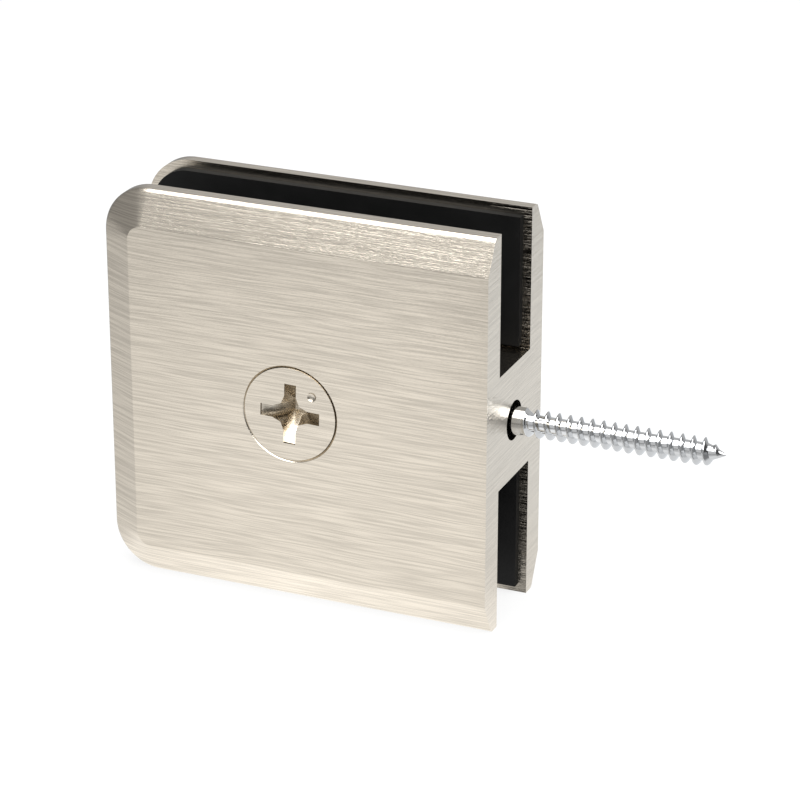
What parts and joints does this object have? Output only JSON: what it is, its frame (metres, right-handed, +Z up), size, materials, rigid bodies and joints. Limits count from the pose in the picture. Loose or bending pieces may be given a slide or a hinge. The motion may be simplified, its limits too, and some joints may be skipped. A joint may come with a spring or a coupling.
{
  "type": "glass panel clamp",
  "caption": "Square bevelled clamp that holds a fixed glass sheet to a wall, with rubber pads, a web across its slot, a countersunk clamp screw and a wood screw.",
  "frame": {"origin": "centre of the wall face, on the wall screw's axis", "axes": "+X into the wall along the wall screw, +Z up along the wall face, -Y out of the front jaw"},
  "size_m": [0.0779, 0.018, 0.0508],
  "materials": {
    "jaw_metal": "warm brushed nickel, lines along the jaw",
    "clamp_screw_metal": "warm brushed nickel head",
    "pad_rubber": "matt black",
    "wall_screw_metal": "bright zinc"
  },
  "bodies": {
    "rear_half": {"rear_jaw": "jaw_metal", "rear_gasket": "pad_rubber"},
    "front_half": {"front_jaw": "jaw_metal", "front_gasket": "pad_rubber"},
    "clamping_screw": {"clamp_screw": "clamp_screw_metal"},
    "fixing_screw": {"wall_screw": "wall_screw_metal"}
  },
  "joints": [
    {"name": "jaw_slide", "type": "slide", "parent": "rear_half", "child": "front_half", "axis": [0, -1, 0], "range_m": [0, 0.003]},
    {"name": "clamp_turn", "type": "hinge", "parent": "front_half", "child": "clamping_screw", "pos_m": [-0.02555, 0, 0], "axis": [0, -1, 0], "range_deg": [0, 1080]},
    {"name": "wall_turn", "type": "hinge", "parent": "rear_half", "child": "fixing_screw", "pos_m": [0, 0, 0], "axis": [1, 0, 0], "continuous": true}
  ],
  "couplings": [
    {"joint": "clamp_turn", "follows": "jaw_slide", "rad_per_m": 6283.2}
  ]
}
